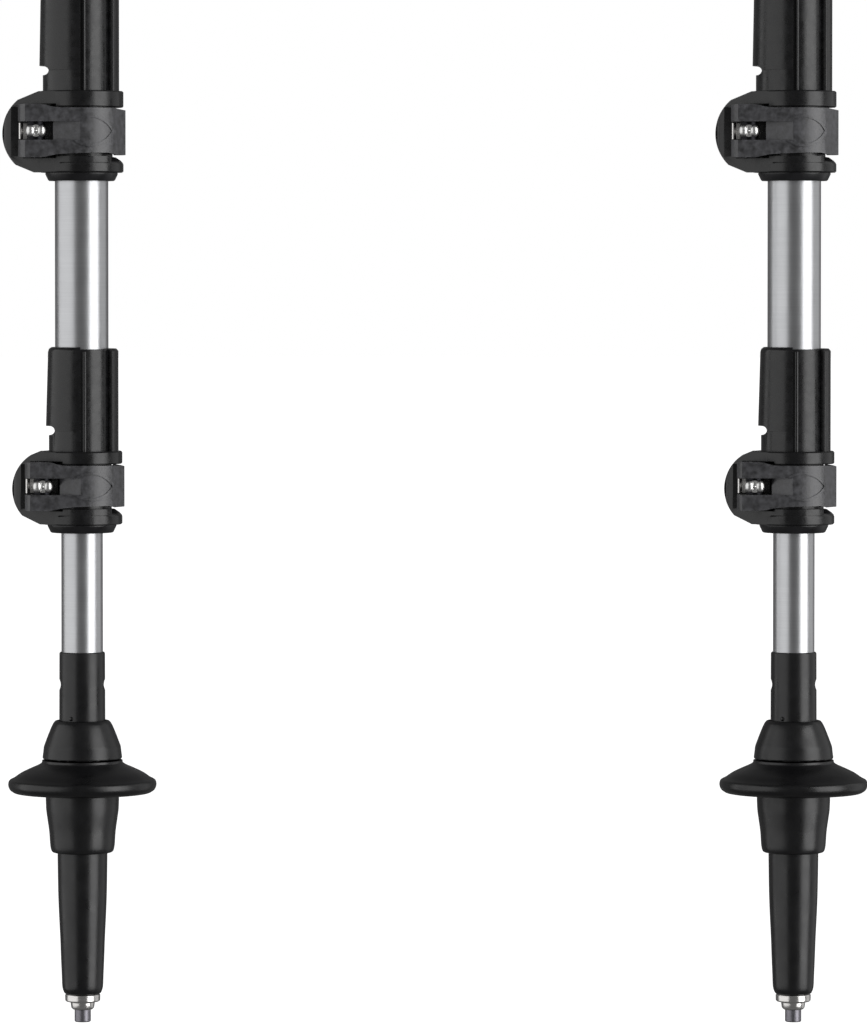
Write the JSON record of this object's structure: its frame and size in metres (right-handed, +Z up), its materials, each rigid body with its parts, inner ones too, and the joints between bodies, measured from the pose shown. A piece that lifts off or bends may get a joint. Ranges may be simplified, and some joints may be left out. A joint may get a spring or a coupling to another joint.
{
  "type": "trekking poles",
  "caption": "Pair of three-section telescopic trekking poles with lever clamps, small disc baskets, carbide tips, foam grips and wrist straps",
  "frame": {"origin": "middle of the left pole's grip, on its axis, where a hand holds it", "axes": "+Z up along the poles, +X from the left pole to the right pole, -Y the side that the levers face"},
  "size_m": [0.2918, 0.1075, 0.7855],
  "materials": {
    "moulded_nylon": "moulded glass-filled nylon, satin",
    "soft_plastic": "acetal",
    "bare_aluminium": "brushed and clear anodised",
    "stainless_steel": "turned",
    "tungsten_carbide": "ground",
    "grip_foam": "closed-cell foam",
    "strap_webbing": "woven polyester"
  },
  "bodies": {
    "left_upper_section": {"left_upper_clamp_body": "moulded_nylon", "left_upper_clamp_liner": "soft_plastic", "left_upper_pivot_barrel": "stainless_steel", "left_upper_tension_bolt": "stainless_steel", "left_upper_pressure_plate": "stainless_steel", "left_upper_tube": "bare_aluminium", "left_grip_collar": "moulded_nylon", "left_grip": "grip_foam", "left_grip_head": "moulded_nylon", "left_strap_pin": "stainless_steel"},
    "left_middle_section": {"left_lower_clamp_body": "moulded_nylon", "left_lower_clamp_liner": "soft_plastic", "left_lower_pivot_barrel": "stainless_steel", "left_lower_tension_bolt": "stainless_steel", "left_lower_pressure_plate": "stainless_steel", "left_middle_tube": "bare_aluminium", "left_middle_tube_guide": "soft_plastic"},
    "left_lower_section": {"left_carbide_pin": "tungsten_carbide", "left_tip_ferrule": "stainless_steel", "left_tip_body": "moulded_nylon", "left_basket": "moulded_nylon", "left_basket_collar": "moulded_nylon", "left_lower_tube": "bare_aluminium", "left_lower_tube_guide": "soft_plastic"},
    "left_strap": {"left_wrist_strap": "strap_webbing"},
    "left_upper_lever_arm": {"left_upper_lever": "moulded_nylon"},
    "left_upper_adjuster": {"left_upper_adjuster_nut": "stainless_steel"},
    "left_lower_lever_arm": {"left_lower_lever": "moulded_nylon"},
    "left_lower_adjuster": {"left_lower_adjuster_nut": "stainless_steel"},
    "right_upper_section": {"right_upper_clamp_body": "moulded_nylon", "right_upper_clamp_liner": "soft_plastic", "right_upper_pivot_barrel": "stainless_steel", "right_upper_tension_bolt": "stainless_steel", "right_upper_pressure_plate": "stainless_steel", "right_upper_tube": "bare_aluminium", "right_grip_collar": "moulded_nylon", "right_grip": "grip_foam", "right_grip_head": "moulded_nylon", "right_strap_pin": "stainless_steel"},
    "right_middle_section": {"right_lower_clamp_body": "moulded_nylon", "right_lower_clamp_liner": "soft_plastic", "right_lower_pivot_barrel": "stainless_steel", "right_lower_tension_bolt": "stainless_steel", "right_lower_pressure_plate": "stainless_steel", "right_middle_tube": "bare_aluminium", "right_middle_tube_guide": "soft_plastic"},
    "right_lower_section": {"right_carbide_pin": "tungsten_carbide", "right_tip_ferrule": "stainless_steel", "right_tip_body": "moulded_nylon", "right_basket": "moulded_nylon", "right_basket_collar": "moulded_nylon", "right_lower_tube": "bare_aluminium", "right_lower_tube_guide": "soft_plastic"},
    "right_strap": {"right_wrist_strap": "strap_webbing"},
    "right_upper_lever_arm": {"right_upper_lever": "moulded_nylon"},
    "right_upper_adjuster": {"right_upper_adjuster_nut": "stainless_steel"},
    "right_lower_lever_arm": {"right_lower_lever": "moulded_nylon"},
    "right_lower_adjuster": {"right_lower_adjuster_nut": "stainless_steel"}
  },
  "joints": [
    {"name": "left_middle_slide", "type": "slide", "parent": "left_upper_section", "child": "left_middle_section", "axis": [0, 0, -1], "range_m": [-0.05, 0.29]},
    {"name": "left_lower_slide", "type": "slide", "parent": "left_middle_section", "child": "left_lower_section", "axis": [0, 0, -1], "range_m": [-0.036, 0.32]},
    {"name": "left_upper_lever_hinge", "type": "hinge", "parent": "left_upper_section", "child": "left_upper_lever_arm", "pos_m": [-0.01459, -0.01119, -0.38855], "axis": [0, 0, -1], "range_deg": [0, 140]},
    {"name": "left_upper_adjuster_turn", "type": "hinge", "parent": "left_upper_section", "child": "left_upper_adjuster", "pos_m": [-0.01572, 0.00788, -0.38855], "axis": [-0.0593, 0.9982, 0], "continuous": true},
    {"name": "left_lower_lever_hinge", "type": "hinge", "parent": "left_middle_section", "child": "left_lower_lever_arm", "pos_m": [-0.0125, -0.01106, -0.5077], "axis": [0, 0, -1], "range_deg": [0, 140]},
    {"name": "left_lower_adjuster_turn", "type": "hinge", "parent": "left_middle_section", "child": "left_lower_adjuster", "pos_m": [-0.01363, 0.00801, -0.5077], "axis": [-0.0593, 0.9982, 0], "continuous": true},
    {"name": "left_strap_swing", "type": "hinge", "parent": "left_upper_section", "child": "left_strap", "pos_m": [-0.00047, 0.00799, 0.083], "axis": [0.9982, 0.0593, 0], "range_deg": [0, 80]},
    {"name": "right_middle_slide", "type": "slide", "parent": "right_upper_section", "child": "right_middle_section", "axis": [0, 0, -1], "range_m": [-0.05, 0.29]},
    {"name": "right_lower_slide", "type": "slide", "parent": "right_middle_section", "child": "right_lower_section", "axis": [0, 0, -1], "range_m": [-0.036, 0.32]},
    {"name": "right_upper_lever_hinge", "type": "hinge", "parent": "right_upper_section", "child": "right_upper_lever_arm", "pos_m": [0.22419, -0.00938, -0.38855], "axis": [0, 0, -1], "range_deg": [0, 140]},
    {"name": "right_upper_adjuster_turn", "type": "hinge", "parent": "right_upper_section", "child": "right_upper_adjuster", "pos_m": [0.22532, 0.00969, -0.38855], "axis": [0.0593, 0.9982, 0], "continuous": true},
    {"name": "right_lower_lever_hinge", "type": "hinge", "parent": "right_middle_section", "child": "right_lower_lever_arm", "pos_m": [0.22628, -0.0095, -0.5077], "axis": [0, 0, -1], "range_deg": [0, 140]},
    {"name": "right_lower_adjuster_turn", "type": "hinge", "parent": "right_middle_section", "child": "right_lower_adjuster", "pos_m": [0.22742, 0.00956, -0.5077], "axis": [0.0593, 0.9982, 0], "continuous": true},
    {"name": "right_strap_swing", "type": "hinge", "parent": "right_upper_section", "child": "right_strap", "pos_m": [0.24047, 0.00799, 0.083], "axis": [0.9982, -0.0593, 0], "range_deg": [0, 80]},
    {"name": "pole_spacing", "type": "slide", "parent": "left_upper_section", "child": "right_upper_section", "axis": [1, 0, 0], "range_m": [-0.12, 0.3]}
  ]
}
